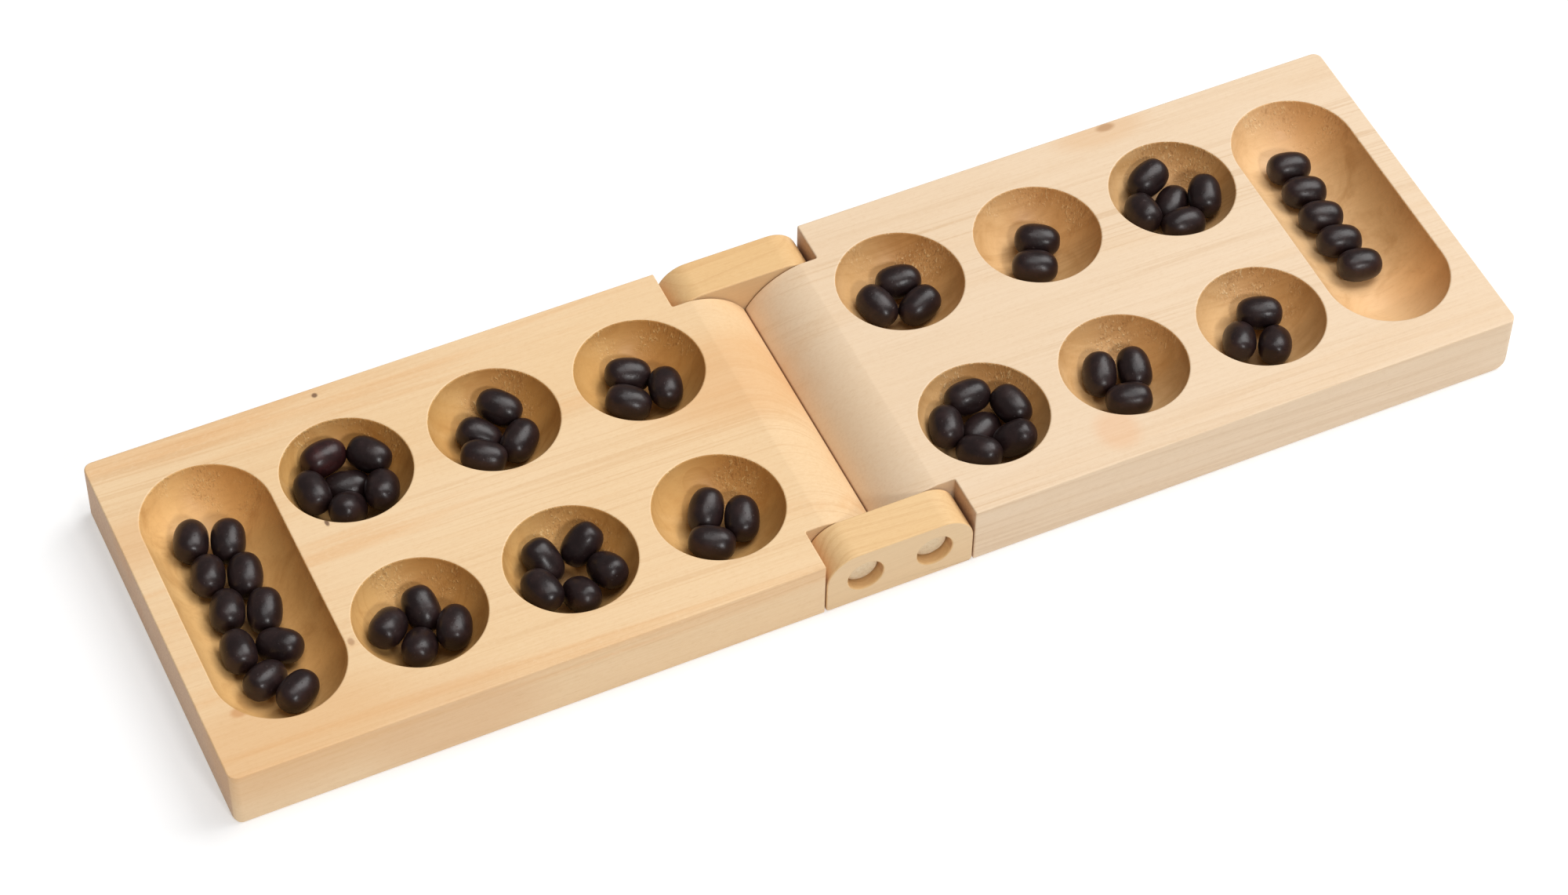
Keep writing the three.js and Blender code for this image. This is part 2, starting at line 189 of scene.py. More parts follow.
linkWood = {
    "base": tone(223, 181, 124), "pale": tone(229, 194, 144), "streak": tone(215, 162, 100), "line": tone(198, 148, 92),
    "streakShare": 0.6, "lineShare": 0.4, "pith": (0, 0.02, -0.05), "tilt": (0, 0.05, 0.04),
    "ringPitch": 0.007, "seed": 5.3, "end": tone(196, 146, 104), "side": tone(224, 199, 164),
    "marks": [],
}


# cycles per metre along X, Y and Z, shared by all the woods
figure = {
    "wander": (6, 14, 14), "wanderTurns": 1.6, "years": 0.55, "yearTurns": 2.6, "ringSquash": (0.12, 1, 1),
    "fade": (7, 30, 30), "leastLine": 0.12, "streaks": (5, 75, 75), "broad": (3.5, 16, 16),
    "fibres": (60, 1700, 1700), "flecks": (260, 1900, 1900), "pores": (300, 1500, 1500), "sand": (650, 1100, 1100),
    "swell": (90, 700, 700),
    "fibreShare": 0.16, "fleckShare": 0.22, "darkSand": 0.16, "paleSand": 0.25, "sideShare": 0.5,
    "rough": 0.46, "reliefDepth": 0.00012, "reliefStrength": 0.35,
}


# the growth rings, streaks and fibres that every wooden surface is built on
def woodFields(made, wood):
    shift = (wood["seed"], wood["seed"] * 2.3, wood["seed"] * 0.7)
    wander = made.grain(figure["wander"], detail=2, offset=shift)
    rings = made.add("ShaderNodeMapping", {"vector_type": "POINT"}, {
        "Vector": made.place, "Location": tuple(-c for c in wood["pith"]), "Rotation": wood["tilt"]})
    radius = made.add("ShaderNodeVectorMath", {"operation": "LENGTH"}, {
        0: made.add("ShaderNodeVectorMath", {"operation": "MULTIPLY"}, {0: rings, 1: figure["ringSquash"]})}, 1)
    # years of fast and slow growth lie in between, and the lines fade in and out along the board
    years = made.add("ShaderNodeTexNoise", {"noise_dimensions": "1D"},
                     {"W": radius / wood["ringPitch"] * figure["years"], "Detail": 2.0})
    turns = radius / wood["ringPitch"] + wander * figure["wanderTurns"] + years * figure["yearTurns"]
    share = turns.math("FRACT", turns)
    late = share.ramp(0.6, 0.97) * share.ramp(1.0, 0.96)
    fade = made.grain(figure["fade"], detail=3, offset=shift, warp=0.5).ramp(0.36, 0.70)
    return {
        "late": late * (figure["leastLine"] + (1 - figure["leastLine"]) * fade),
        "streaks": made.grain(figure["streaks"], detail=4, rough=0.6, offset=shift, warp=0.4).ramp(0.50, 0.78),
        "broad": made.grain(figure["broad"], detail=3, offset=shift).ramp(0.3, 0.75),
        "fibres": made.grain(figure["fibres"], detail=3, rough=0.65, offset=shift),
        "flecks": made.grain(figure["flecks"], detail=1, offset=shift).ramp(0.68, 0.80),
    }


def boardFinish(name, wood):
    made = Recipe(name)
    field = woodFields(made, wood)
    colour = made.blend(field["broad"], wood["base"], wood["pale"])
    colour = made.blend(field["streaks"] * wood["streakShare"], colour, wood["streak"])
    colour = made.blend(field["late"] * wood["lineShare"], colour, wood["line"])
    colour = made.blend(field["fibres"].ramp(0.35, 0.75) * figure["fibreShare"], colour, wood["line"])
    colour = made.blend(field["flecks"] * figure["fleckShare"], colour, wood["line"])
    sand = made.grain(figure["sand"], detail=3, rough=0.7)
    colour = made.blend(sand.ramp(0.5, 0.75) * figure["darkSand"], colour, wood["line"])
    colour = made.blend(sand.ramp(0.48, 0.3) * figure["paleSand"], colour, wood["pale"])
    # the ends drink more lacquer than the long sides
    ends = abs(made.axis(made.facing, 0)).ramp(0.88, 0.99)
    pores = made.grain(figure["pores"], detail=2).ramp(0.4, 0.7)
    colour = made.blend(ends * (0.45 + 0.35 * pores), colour, wood["end"])
    if "side" in wood:
        colour = made.blend(abs(made.axis(made.facing, 1)).ramp(0.75, 0.98) * figure["sideShare"],
                            colour, wood["side"])
    for centre, size, stretch, shade, share in wood["marks"]:
        colour = made.blend(made.spot(centre, size, stretch) * share, colour, shade)
    rough = figure["rough"] + 0.14 * field["fibres"] + 0.10 * ends
    relief = field["fibres"] * 0.6 + made.grain(figure["swell"], detail=2) * 0.6 + field["late"] * 0.2
    skin = made.bump(relief, figure["reliefStrength"], figure["reliefDepth"])
    return made.finish(Base_Color=colour, Roughness=rough, Normal=skin, IOR=1.45)


# the hollows; metres for the places, cycles per metre for the grains
scoop = {
    "bands": (9, 150, 20), "cloud": (70, 90, 90), "patch": (75, 75, 75), "tufts": (1700, 1700, 330),
    "scratch": (140, 900, 900), "fray": (800, 800, 300),
    "streakShare": 0.7, "ringShare": 0.28, "darkBands": 0.38, "paleBands": 0.45, "cloudShare": 0.55,
    "storeStart": 0.138, "storeEnd": 0.143, "storeShare": 0.6, "crackShare": 0.4, "glintShare": 0.85,
    "frayStart": 0.0180, "frayEnd": 0.0188, "frayShare": 0.6, "scratchShare": 0.2,
    "rough": 0.40, "reliefDepth": 0.00025, "reliefStrength": 0.6,
}


def scoopFinish(name, wood, stain):
    made = Recipe(name)
    field = woodFields(made, wood)
    colour = made.blend(field["broad"], stain["base"], stain["pale"])
    colour = made.blend(field["streaks"] * scoop["streakShare"], colour, stain["streak"])
    bands = made.grain(scoop["bands"], detail=3, rough=0.6, offset=(0, wood["seed"], 0), warp=0.5)
    colour = made.blend(bands.ramp(0.48, 0.68) * scoop["darkBands"], colour, stain["line"])
    colour = made.blend(bands.ramp(0.46, 0.30) * scoop["paleBands"], colour, stain["pale"])
    colour = made.blend(field["late"] * scoop["ringShare"], colour, stain["line"])
    # thinner stain in the big end hollow than in the small ones
    away = abs(made.axis(made.place, 0))
    inStore = away.ramp(scoop["storeStart"], scoop["storeEnd"])
    colour = made.blend(inStore * scoop["storeShare"], colour, stain["store"])
    # lacquer lies unevenly, and the cutter tore the fibres where it met them end on
    cloud = made.grain(scoop["cloud"], detail=4, rough=0.6, warp=0.8)
    colour = made.blend(cloud.ramp(0.45, 0.8) * scoop["cloudShare"], colour, stain["line"])
    against = made.axis(made.facing, 0) * -0.45 - made.axis(made.facing, 1) * 0.85
    patch = made.grain(scoop["patch"], detail=4, rough=0.6, offset=(wood["seed"], 0, 0))
    torn = against.ramp(0.30, 0.75) * patch.ramp(0.43, 0.58)
    tufts = made.grain(scoop["tufts"], detail=2, rough=0.5, warp=0.3)
    fuzz = tufts.ramp(0.54, 0.72) * torn
    # painted highlight: the glints are pale specks standing for light caught on the torn fibres, partly their own paler
    # colour
    glints = tufts.ramp(0.45, 0.30) * torn
    scratch = made.grain(scoop["scratch"], detail=3, rough=0.7, warp=0.5)
    colour = made.blend(fuzz * scoop["crackShare"], colour, stain["crack"])
    colour = made.blend(glints * scoop["glintShare"], colour, stain["pale_fibre_and_glint"])
    # frayed fibres along the rim
    rim = made.axis(made.place, 2).ramp(scoop["frayStart"], scoop["frayEnd"])
    frayed = made.grain(scoop["fray"], detail=3, rough=0.6).ramp(0.50, 0.66) * rim
    colour = made.blend(frayed * scoop["frayShare"], colour, stain["pale_fibre_and_glint"])
    colour = made.blend(scratch.ramp(0.45, 0.8) * scoop["scratchShare"], colour, stain["line"])
    # painted shade: walls facing -X and a little -Y, away from the side light, are multiplied darker and more golden,
    # standing in for their shade and the warm light bounced inside the hollow
    painted_wall_shade = (made.axis(made.facing, 0) * -0.9 - made.axis(made.facing, 1) * 0.3).ramp(-0.1, 0.9)
    colour = made.blend(painted_wall_shade, colour, stain["painted_wall_shade"], "MULTIPLY")
    rough = scoop["rough"] + 0.25 * torn + 0.10 * scratch
    relief = scratch * 0.35 + glints - fuzz * 0.4 + cloud * 0.8 + frayed * 0.8
    skin = made.bump(relief, scoop["reliefStrength"], scoop["reliefDepth"])
    return made.finish(Base_Color=colour, Roughness=rough, Normal=skin, IOR=1.45)


# the last tint of each stain is painted shade, multiplied into the hollow walls that face away from the side light
# the pale fibre tint of each stain is also used to paint those highlights on the torn fibres
leftStain = {"base": tone(209, 160, 95), "pale": tone(223, 178, 118), "streak": tone(195, 139, 73),
             "line": tone(178, 122, 60), "crack": tone(132, 84, 38), "pale_fibre_and_glint": tone(240, 206, 148),
             "store": tone(238, 190, 126), "painted_wall_shade": (0.95, 0.76, 0.54)}
rightStain = {"base": tone(215, 169, 113), "pale": tone(230, 189, 138), "streak": tone(201, 150, 90),
              "line": tone(184, 134, 76), "crack": tone(134, 86, 46), "pale_fibre_and_glint": tone(246, 217, 170),
              "store": tone(236, 196, 147), "painted_wall_shade": (0.95, 0.76, 0.54)}

leftTop = boardFinish("left_maple", leftWood)
rightTop = boardFinish("right_maple", rightWood)
linkTop = boardFinish("link_maple", linkWood)
leftScoop = scoopFinish("left_scooped_maple", leftWood, leftStain)
rightScoop = scoopFinish("right_scooped_maple", rightWood, rightStain)


def dowelFinish():
    made = Recipe("dowel_end_grain")
    pores = made.grain((1500, 300, 1500), detail=2, rough=0.6)
    ragged = made.grain((480, 480, 480), detail=3, rough=0.6)
    colour = made.blend(pores.ramp(0.4, 0.75) * 0.5, tone(231, 210, 176), tone(205, 175, 132))
    colour = made.blend(ragged.ramp(0.5, 0.75) * 0.5, colour, tone(240, 224, 196))
    relief = pores * 0.5 + ragged
    return made.finish(Base_Color=colour, Roughness=0.62 + 0.2 * ragged, Normal=made.bump(relief, 0.7, 0.0003))


dowelWood = dowelFinish()


def seedFinish(name, skin):
    made = Recipe(name)
    mottle = made.grain((260, 260, 260), detail=3, rough=0.6)
    dimples = made.grain((1300, 1300, 1300), detail=2).ramp(0.66, 0.78)
    waves = made.grain((430, 430, 430), detail=4, rough=0.55)
    colour = made.blend(mottle.ramp(0.35, 0.75), skin["dark"], skin["brown"])
    colour = made.blend(dimples * 0.35, colour, skin["dust"])
    rough = skin["rough"] + 0.12 * mottle + 0.15 * dimples
    relief = waves * 0.8 + mottle * 0.5 - dimples * 0.4
    return made.finish(Base_Color=colour, Roughness=rough, Normal=made.bump(relief, 0.42, 0.00026), IOR=1.42)


seedSkin = seedFinish("seed_skin", {"dark": tone(31, 20, 20), "brown": tone(45, 30, 29),
                                    "dust": tone(70, 54, 50), "rough": 0.27})
redSeedSkin = seedFinish("red_seed_skin", {"dark": tone(40, 19, 19), "brown": tone(60, 27, 26),
                                           "dust": tone(84, 56, 52), "rough": 0.27})
print("materials made:", len(bpy.data.materials))


# mesh helpers
def pieceOf(bm, name, materials):
    mesh = bpy.data.meshes.new(name)
    bm.to_mesh(mesh)
    bm.free()
    piece = bpy.data.objects.new(name, mesh)
    scene.collection.objects.link(piece)
    for material in materials:
        mesh.materials.append(material)
    return piece


def applyModifiers(piece):
    bpy.context.view_layer.update()
    evaluated = piece.evaluated_get(bpy.context.evaluated_depsgraph_get())
    mesh = bpy.data.meshes.new_from_object(evaluated)
    mesh.name = piece.name
    piece.modifiers.clear()
    piece.data = mesh


def combine(piece, other, operation):
    cut = piece.modifiers.new("cut", "BOOLEAN")
    cut.operation, cut.object, cut.solver, cut.material_mode = operation, other, "EXACT", "INDEX"
    applyModifiers(piece)
    bpy.data.objects.remove(other)


arris = {"segments": 4, "sharpest": 30, "smoothUpTo": 40, "flatWeight": 80}


# small round on every edge over the sharpest angle in degrees, then normals that keep the flats flat
def softenEdges(piece, width):
    bevel = piece.modifiers.new("arris", "BEVEL")
    bevel.width, bevel.segments, bevel.profile = width, arris["segments"], 0.5
    bevel.limit_method, bevel.angle_limit = "ANGLE", math.radians(arris["sharpest"])
    bevel.use_clamp_overlap = False
    bevel.miter_outer = "MITER_ARC"
    applyModifiers(piece)
    piece.data.shade_smooth()
    piece.data.set_sharp_from_angle(angle=math.radians(arris["smoothUpTo"]))
    weighted = piece.modifiers.new("flats", "WEIGHTED_NORMAL")
    weighted.keep_sharp = True
    weighted.weight = arris["flatWeight"]
    applyModifiers(piece)


# turns a vertex about an axis along Y and returns the arc's last vertex
def sweepVertex(bm, vertex, centre, angle, steps):
    swept = bmesh.ops.spin(bm, geom=[vertex], cent=centre, axis=(0, 1, 0), angle=angle, steps=steps)
    return [g for g in swept["geom_last"] if isinstance(g, bmesh.types.BMVert)][0]


# closes a chain of vertices in the XZ plane into a face and draws it out along +Y
def drawAlongY(bm, length):
    face = bmesh.ops.contextual_create(bm, geom=bm.edges[:])["faces"][0]
    grown = bmesh.ops.extrude_face_region(bm, geom=[face])
    bmesh.ops.translate(bm, verts=[g for g in grown["geom"] if isinstance(g, bmesh.types.BMVert)], vec=(0, length, 0))
    bmesh.ops.recalc_face_normals(bm, faces=bm.faces[:])


def lineTo(bm, last, x, z):
    vertex = bm.verts.new((x, last.co.y, z))
    bm.edges.new((last, vertex))
    return vertex


# board halves
board = {
    "seamGap": 0.3 * mm, "seamFaceTop": 8.0 * mm, "seamRoundLength": 16.5 * mm, "seamRoundRadius": 22 * mm,
    "seamRoundSteps": 28, "planCorner": 2.5 * mm, "cornerSteps": 8, "arris": 0.45 * mm,
    "cutterRadius": 17.9 * mm, "pitDepth": 14 * mm, "rowOffset": 25.47 * mm,
    "pitPlaces": (38.37 * mm, 79.91 * mm, 121.45 * mm), "storePlace": 159.79 * mm,
    "cutterRings": 30, "cutterSteps": 144, "boreSteps": 64, "mergeWithin": 1e-7,
    "notchLength": 21.41 * mm, "tongueHalfWidth": 42.2 * mm,
    "boreRadius": 4.9 * mm, "boreDepth": 16 * mm, "pinOffset": 9.9 * mm, "pinHeight": 9.5 * mm,
}


# side outline of the right half, drawn out over the board's width
def boardSide(high, bottomRadius):
    bm = bmesh.new()
    start = Vector((board["seamGap"] / 2, 0, board["seamFaceTop"]))
    end = Vector((board["seamRoundLength"], 0, high.z))
    radius = board["seamRoundRadius"]
    halfChord = (end - start).length / 2
    inwards = Vector((end.z - start.z, 0, start.x - end.x)).normalized()
    centre = (start + end) / 2 + inwards * math.sqrt(radius ** 2 - halfChord ** 2)
    first = bm.verts.new((start.x, 0, 0))
    last = lineTo(bm, first, start.x, start.z)
    last = sweepVertex(bm, last, centre, 2 * math.asin(halfChord / radius), board["seamRoundSteps"])
    last = lineTo(bm, last, high.x, high.z)
    last = lineTo(bm, last, high.x, bottomRadius)
    last = sweepVertex(bm, last, (high.x - bottomRadius, 0, bottomRadius), math.pi / 2, board["cornerSteps"])
    bm.edges.new((last, first))
    drawAlongY(bm, 2 * high.y)
    bmesh.ops.translate(bm, verts=bm.verts[:], vec=(0, -high.y, 0))
    return bm


# the board seen from above: a slab whose outer upright corners are rounded
def boardPlan(high):
    bm = bmesh.new()
    bmesh.ops.create_cube(bm, size=1)
    bmesh.ops.scale(bm, verts=bm.verts[:], vec=(high.x, 2 * high.y, 3 * high.z))
    bmesh.ops.translate(bm, verts=bm.verts[:], vec=(high.x / 2, 0, high.z / 2))
    upright = [e for e in bm.edges if all(v.co.x > high.x / 2 for v in e.verts)
               and abs(e.verts[0].co.z - e.verts[1].co.z) > high.z]
    bmesh.ops.bevel(bm, geom=upright, offset=board["planCorner"], offset_type="OFFSET", affect="EDGES",
                    segments=board["cornerSteps"], profile=0.5, material=-1)
    return bm


# a ball with its pole down, cut off flat above the board's top
def cutterBall(bm):
    pole = bm.verts.new((0, 0, -board["cutterRadius"]))
    sweepVertex(bm, pole, (0, 0, 0), -math.pi / 2, board["cutterRings"])
    bmesh.ops.spin(bm, geom=bm.verts[:] + bm.edges[:], cent=(0, 0, 0), axis=(0, 0, 1), angle=2 * math.pi,
                   steps=board["cutterSteps"], use_merge=True)
    bmesh.ops.remove_doubles(bm, verts=bm.verts[:], dist=board["mergeWithin"])
    bmesh.ops.holes_fill(bm, edges=[e for e in bm.edges if e.is_boundary])


def scoopCutters(high):
    centreHeight = high.z - board["pitDepth"] + board["cutterRadius"]
    bm = bmesh.new()
    cutterBall(bm)
    whole = bm.verts[:] + bm.edges[:] + bm.faces[:]
    bmesh.ops.translate(bm, verts=bm.verts[:], vec=(0, 0, centreHeight))
    for x in board["pitPlaces"]:
        for y in (-board["rowOffset"], board["rowOffset"]):
            copied = bmesh.ops.duplicate(bm, geom=whole)["geom"]
            bmesh.ops.translate(bm, verts=[g for g in copied if isinstance(g, bmesh.types.BMVert)], vec=(x, y, 0))
    bmesh.ops.delete(bm, geom=[g for g in whole if isinstance(g, bmesh.types.BMVert)], context="VERTS")
    pits = bpy.data.meshes.new("pits")
    bm.to_mesh(pits)
    bm.free()
    # the store: half a ball, its open side drawn to the middle, then mirrored
    bm = bmesh.new()
    cutterBall(bm)
    bmesh.ops.bisect_plane(bm, geom=bm.verts[:] + bm.edges[:] + bm.faces[:],
                           dist=board["mergeWithin"],
                           plane_co=(0, 0, 0), plane_no=(0, -1, 0), clear_outer=True)
    drawn = bmesh.ops.extrude_edge_only(bm, edges=[e for e in bm.edges if e.is_boundary])["geom"]
    bmesh.ops.translate(bm, verts=[g for g in drawn if isinstance(g, bmesh.types.BMVert)],
                        vec=(0, -board["rowOffset"], 0))
    bmesh.ops.translate(bm, verts=bm.verts[:], vec=(0, board["rowOffset"], 0))
    bmesh.ops.mirror(bm, geom=bm.verts[:] + bm.edges[:] + bm.faces[:], axis="Y", merge_dist=1e-6)
    bmesh.ops.translate(bm, verts=bm.verts[:], vec=(board["storePlace"], 0, centreHeight))
    bm.from_mesh(pits)
    bpy.data.meshes.remove(pits)
    bmesh.ops.recalc_face_normals(bm, faces=bm.faces[:])
    for face in bm.faces:
        face.material_index = 1
    return bm


def notchCutters(high):
    bm = bmesh.new()
    for side in (-1, 1):
        corner = bmesh.ops.create_cube(bm, size=1)["verts"]
        length = board["notchLength"] + high.z
        bmesh.ops.scale(bm, verts=corner, vec=(length, high.y, 3 * high.z))
        bmesh.ops.translate(bm, verts=corner, vec=(board["notchLength"] - length / 2,
                                                   side * (board["tongueHalfWidth"] + high.y / 2), high.z / 2))
    return bm


def boreCutters():
    bm = bmesh.new()
    for side in (-1, 1):
        bore = bmesh.ops.create_cone(bm, cap_ends=True, segments=board["boreSteps"], radius1=board["boreRadius"],
                                     radius2=board["boreRadius"], depth=2 * board["boreDepth"])["verts"]
        bmesh.ops.rotate(bm, verts=bore, matrix=Matrix.Rotation(math.pi / 2, 3, "X"))
        bmesh.ops.translate(bm, verts=bore, vec=(board["pinOffset"], side * board["tongueHalfWidth"],
                                                 board["pinHeight"]))
    return bm


def mirrored(bm, side):
    if side < 0:
        bmesh.ops.scale(bm, verts=bm.verts[:], vec=(-1, 1, 1))
        bmesh.ops.reverse_faces(bm, faces=bm.faces[:])
    return bm


halves = {
    "left": {"side": -1, "node": "left_board", "body": "left_half", "slot": "left_board_wood",
             "bottomRadius": 1.8 * mm, "materials": [leftTop, leftScoop]},
    "right": {"side": 1, "node": "right_board", "body": "right_half", "slot": "right_board_wood",
              "bottomRadius": 5 * mm, "materials": [rightTop, rightScoop]},
}
for name, half in halves.items():
    low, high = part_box(half["node"])
    size = Vector((max(abs(low.x), abs(high.x)), high.y, high.z))
    piece = pieceOf(mirrored(boardSide(size, half["bottomRadius"]), half["side"]), name + "_half_wood",
                    half["materials"])
    for bm, operation in ((boardPlan(size), "INTERSECT"), (notchCutters(size), "DIFFERENCE"),
                          (boreCutters(), "DIFFERENCE"), (scoopCutters(size), "DIFFERENCE")):
        combine(piece, pieceOf(mirrored(bm, half["side"]), "cutter", half["materials"]), operation)
    softenEdges(piece, board["arris"])
    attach(piece, half["body"])
    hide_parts(half["node"])
    print(piece.name, len(piece.data.polygons), "faces")


# hinge links and dowels
link = {
    "topRadius": 9 * mm, "bottomRadius": 1 * mm, "topSteps": 20, "bottomSteps": 4,
    "holeRadius": 5.05 * mm, "holeSteps": 64, "holeCutterLength": 30 * mm, "arris": 0.5 * mm,
}
for end in ("front", "back"):
    low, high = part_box(end + "_link")
    bm = bmesh.new()
    corners = [(low.x, high.z, link["topRadius"], link["topSteps"]),
               (high.x, high.z, link["topRadius"], link["topSteps"]),
               (high.x, low.z, link["bottomRadius"], link["bottomSteps"]),
               (low.x, low.z, link["bottomRadius"], link["bottomSteps"])]
    first = last = None
    for cornerX, cornerZ, radius, steps in corners:
        inX = math.copysign(radius, -cornerX)
        inZ = radius if cornerZ == low.z else -radius
        # clockwise seen from the front: each corner starts on the side that the last one ended at
        startsUpright = (cornerX < 0) == (cornerZ == high.z)
        begin = (cornerX, cornerZ + inZ) if startsUpright else (cornerX + inX, cornerZ)
        vertex = bm.verts.new((begin[0], low.y, begin[1])) if last is None else lineTo(bm, last, *begin)
        first = first or vertex
        last = sweepVertex(bm, vertex, (cornerX + inX, low.y, cornerZ + inZ), math.pi / 2, steps)
    bm.edges.new((last, first))
    drawAlongY(bm, high.y - low.y)
    piece = pieceOf(bm, end + "_link_wood", [linkTop])
    holes = bmesh.new()
    for side in (-1, 1):
        hole = bmesh.ops.create_cone(holes, cap_ends=True, segments=link["holeSteps"], radius1=link["holeRadius"],
                                     radius2=link["holeRadius"], depth=link["holeCutterLength"])["verts"]
        bmesh.ops.rotate(holes, verts=hole, matrix=Matrix.Rotation(math.pi / 2, 3, "X"))
        bmesh.ops.translate(holes, verts=hole,
                            vec=(side * board["pinOffset"], (low.y + high.y) / 2, board["pinHeight"]))
    combine(piece, pieceOf(holes, "cutter", [linkTop]), "DIFFERENCE")
    softenEdges(piece, link["arris"])
    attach(piece, "hinge_links")
    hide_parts(end + "_link")

dowel = {"steps": 64, "chamfer": 0.7 * mm, "endRings": 6, "ringShare": 0.14, "smoothUpTo": 40,
         "raggedness": 0.18 * mm, "raggedCycles": 900, "raggedWithin": 0.1 * mm}
random.seed(11)
for side in ("left", "right"):
    for end in ("front", "back"):
        node = side + "_" + end + "_dowel"
        low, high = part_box(node)
        radius = (high.x - low.x) / 2
        bm = bmesh.new()
        bmesh.ops.create_cone(bm, cap_ends=True, segments=dowel["steps"], radius1=radius, radius2=radius,
                              depth=high.y - low.y)
        ends = [f for f in bm.faces if len(f.verts) > 4]
        bmesh.ops.bevel(bm, geom=[e for f in ends for e in f.edges], offset=dowel["chamfer"], segments=3,
                        profile=0.5, affect="EDGES", material=-1)
        ends = [f for f in bm.faces if len(f.verts) > 4]
        for _ in range(dowel["endRings"]):
            bmesh.ops.inset_region(bm, faces=ends, thickness=radius * dowel["ringShare"], use_even_offset=True)
        bmesh.ops.rotate(bm, verts=bm.verts[:], matrix=Matrix.Rotation(math.pi / 2, 3, "X"))
        bmesh.ops.translate(bm, verts=bm.verts[:], vec=(low + high) / 2)
        # the sawn ends are a little ragged
        middle = (low.y + high.y) / 2
        for v in bm.verts:
            depth = noise.noise(v.co * dowel["raggedCycles"]) * dowel["raggedness"]
            if abs(v.co.y - middle) > (high.y - low.y) / 2 - dowel["raggedWithin"]:
                v.co.y -= math.copysign(abs(depth), v.co.y - middle)
        piece = pieceOf(bm, node + "_wood", [dowelWood])
        piece.data.shade_smooth()
        piece.data.set_sharp_from_angle(angle=math.radians(dowel["smoothUpTo"]))
        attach(piece, side + "_half")
        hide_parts(node)
print("links and dowels made")


# seeds
seed = {
    "length": 12.4 * mm, "diameter": 9.2 * mm, "bluntness": 2.65, "grown": 0.03 * mm,
    "around": 40, "along": 26, "lumps": 0.10 * mm, "lumpCycles": 1.6, "taper": 0.09, "taperCurve": 1.5,
    "sizeSpread": 0.012, "lengthWithin": 0.004 * mm, "rimWithin": 0.02 * mm, "drift": 50,
}


# where each seed of a CAD node lies: the two vertices a whole seed length apart are its tips
def seedAxes(node):
    points = list({tuple(round(c, 6) for c in v.co): v.co.copy() for v in frame["nodes"][node].data.vertices}.values())
    found = []
    for i, first in enumerate(points):
        for second in points[i + 1:]:
            if abs((second - first).length - seed["length"]) > seed["lengthWithin"]:
                continue
            along = (second - first).normalized()
            beside = [(p - first).cross(along).length for p in points]
            onRim = sum(1 for d in beside if abs(d - seed["diameter"] / 2) < seed["rimWithin"])
            found.append((onRim, first, second))
    found.sort(key=lambda f: -f[0])
    return [(first, second) for onRim, first, second in found[:2 if "seeds" in node.split("_", 2)[-1] else 1]]


def seedInto(bm, tips, scale, skin):
    middle, along = (tips[0] + tips[1]) / 2, (tips[1] - tips[0]).normalized()
    made = bmesh.ops.create_uvsphere(bm, u_segments=seed["around"], v_segments=seed["along"], radius=1)["verts"]
    drift = Vector([random.uniform(-seed["drift"], seed["drift"]) for _ in range(3)])
    halfLength = seed["length"] / 2 * scale + seed["grown"]
    radius = seed["diameter"] / 2 * scale + seed["grown"]
    thinEnd = random.choice((-1, 1))
    for v in made:
        axial, radial = v.co.z, math.hypot(v.co.x, v.co.y)
        blunt = (abs(axial) ** seed["bluntness"] + radial ** seed["bluntness"]) ** (-1 / seed["bluntness"])
        lump = 1 + noise.noise(v.co * seed["lumpCycles"] + drift) * seed["lumps"] / radius
        slim = radius * (1 - seed["taper"] * max(0, axial * thinEnd) ** seed["taperCurve"])
        v.co = Vector((v.co.x * slim, v.co.y * slim, v.co.z * halfLength)) * (blunt * lump)
    bmesh.ops.rotate(bm, verts=made, matrix=Vector((0, 0, 1)).rotation_difference(along).to_matrix())
    bmesh.ops.translate(bm, verts=made, vec=middle)
    for face in {f for v in made for f in v.link_faces}:
        face.material_index = skin


random.seed(29)
redSeed = ("left_outer_back_seeds_1", 1)
for body, nodes in sorted(frame["record"]["behaviour"]["bodies"].items()):
    if not body.endswith("_seeds"):
        continue
    for node in sorted(nodes):
        bm = bmesh.new()
        for place, tips in enumerate(sorted(seedAxes(node), key=lambda tips: (tips[0] + tips[1]).y)):
            seedInto(bm, tips, 1 + random.uniform(-seed["sizeSpread"], seed["sizeSpread"]),
                     1 if (node, place) == redSeed else 0)
        piece = pieceOf(bm, node + "_shape", [seedSkin, redSeedSkin])
        piece.data.shade_smooth()
        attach(piece, body)
        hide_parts(node)
print("seeds made")


# floor, light and camera
studio = {"floorReach": 6.0, "floorTone": tone(205, 205, 205), "floorGlow": 0.42,
          "floorDrop": 0.2 * mm, "worldStrength": 0.2}
bm = bmesh.new()
bmesh.ops.create_grid(bm, x_segments=1, y_segments=1, size=studio["floorReach"])
bmesh.ops.translate(bm, verts=bm.verts[:], vec=(0, 0, -studio["floorDrop"]))
made = Recipe("pale_floor")
floorMaterial = made.finish(Base_Color=(*studio["floorTone"], 1.0), Roughness=0.9, Specular_IOR_Level=0.1,
                            Emission_Color=(1.0, 1.0, 1.0, 1.0), Emission_Strength=studio["floorGlow"])
floor = pieceOf(bm, "floor", [floorMaterial])

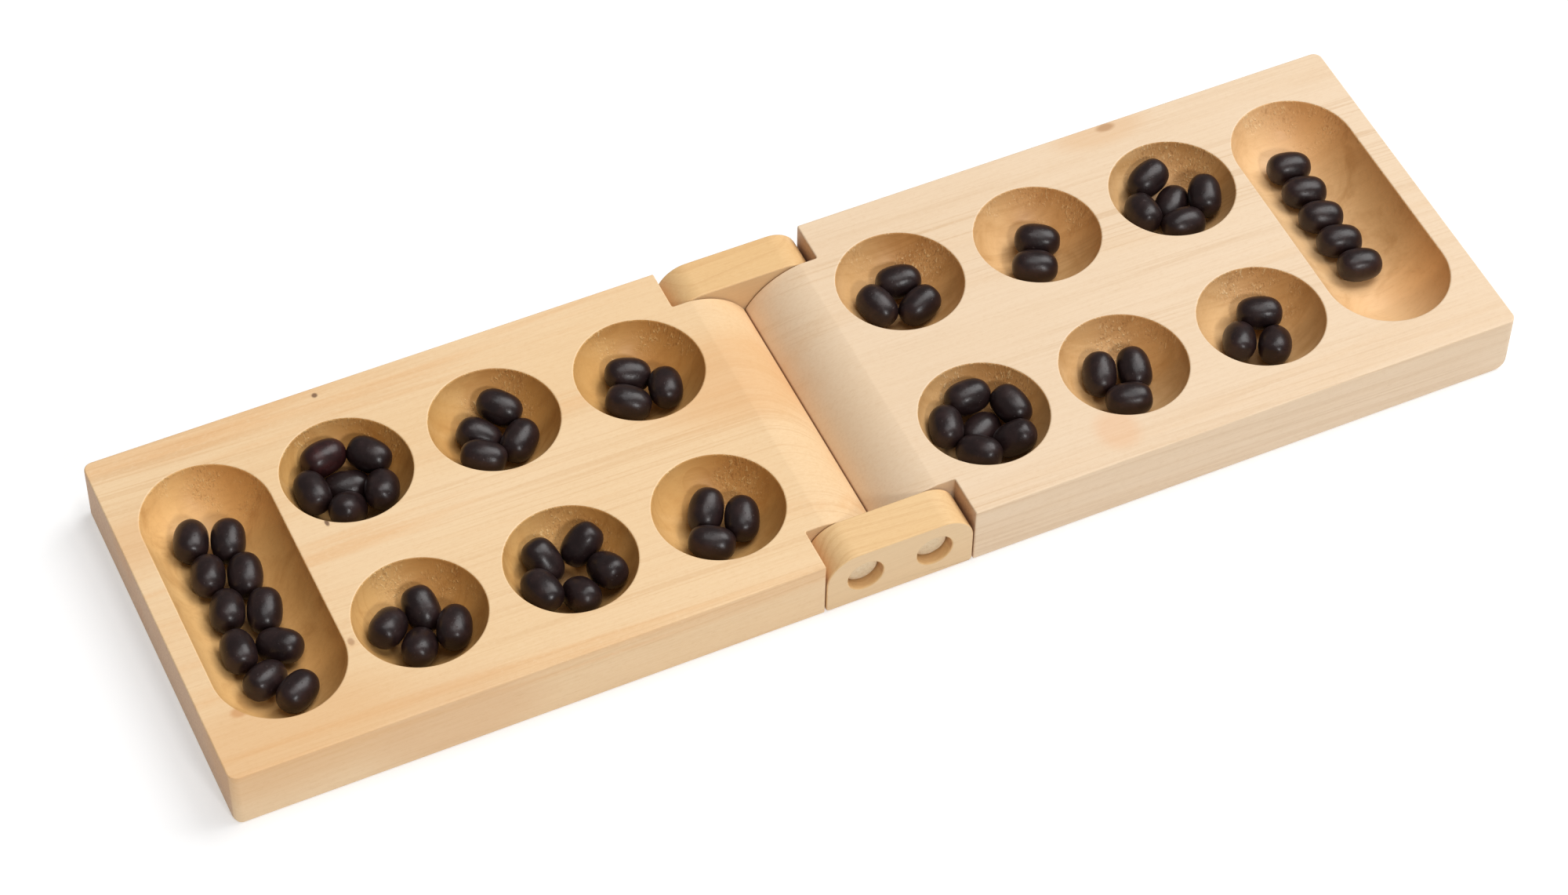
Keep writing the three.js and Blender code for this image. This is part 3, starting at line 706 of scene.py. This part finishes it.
world = bpy.data.worlds.new("studio")
scene.world = world
world.use_nodes = True
world.node_tree.nodes["Background"].inputs[0].default_value = (1.0, 1.0, 1.0, 1.0)
world.node_tree.nodes["Background"].inputs[1].default_value = studio["worldStrength"]
scene.view_settings.view_transform = "Standard"

# azimuth 0 is the player's side, counted towards +X; distances in metres
lights = {
    "side": {"azimuth": 98, "elevation": 54, "distance": 3.2, "size": 2.2, "power": 79, "tone": (1.0, 1.0, 1.0)},
    "front": {"azimuth": 4, "elevation": 38, "distance": 3.0, "size": 0.4, "power": 25, "tone": (1.0, 1.0, 1.0)},
    "overhead": {"azimuth": 20, "elevation": 84, "distance": 3.0, "size": 1.6, "power": 24.5, "tone": (1.0, 1.0, 1.0)},
}


def direction(azimuth, elevation):
    a, e = math.radians(azimuth), math.radians(elevation)
    return Vector((math.sin(a) * math.cos(e), -math.cos(a) * math.cos(e), math.sin(e)))


for name, light in lights.items():
    lamp = bpy.data.lights.new(name, "AREA")
    lamp.shape, lamp.size, lamp.energy, lamp.color = "SQUARE", light["size"], light["power"], light["tone"]
    holder = bpy.data.objects.new(name, lamp)
    scene.collection.objects.link(holder)
    towards = direction(light["azimuth"], light["elevation"])
    holder.location = towards * light["distance"]
    holder.rotation_euler = towards.to_track_quat("Z", "Y").to_euler()

viewpoint = {"azimuth": -25.84, "elevation": 50.57, "roll": 1.26, "distance": 1.2001,
             "target": Vector((-0.00785, -0.00045, 0)), "lens": 103.28, "sensor": 36}
lens = bpy.data.cameras.new("camera")
lens.sensor_width, lens.lens, lens.clip_start, lens.clip_end = viewpoint["sensor"], viewpoint["lens"], 0.05, 20
camera = bpy.data.objects.new("camera", lens)
scene.collection.objects.link(camera)
back = direction(viewpoint["azimuth"], viewpoint["elevation"])
right = (-back).cross(Vector((0, 0, 1))).normalized()
up = right.cross(-back)
roll = math.radians(viewpoint["roll"])
rolledRight = right * math.cos(roll) + up * math.sin(roll)
rolledUp = up * math.cos(roll) - right * math.sin(roll)
camera.matrix_world = Matrix.Translation(viewpoint["target"] + back * viewpoint["distance"]) @ Matrix(
    (rolledRight, rolledUp, back)).transposed().to_4x4()
scene.camera = camera
print("studio set")
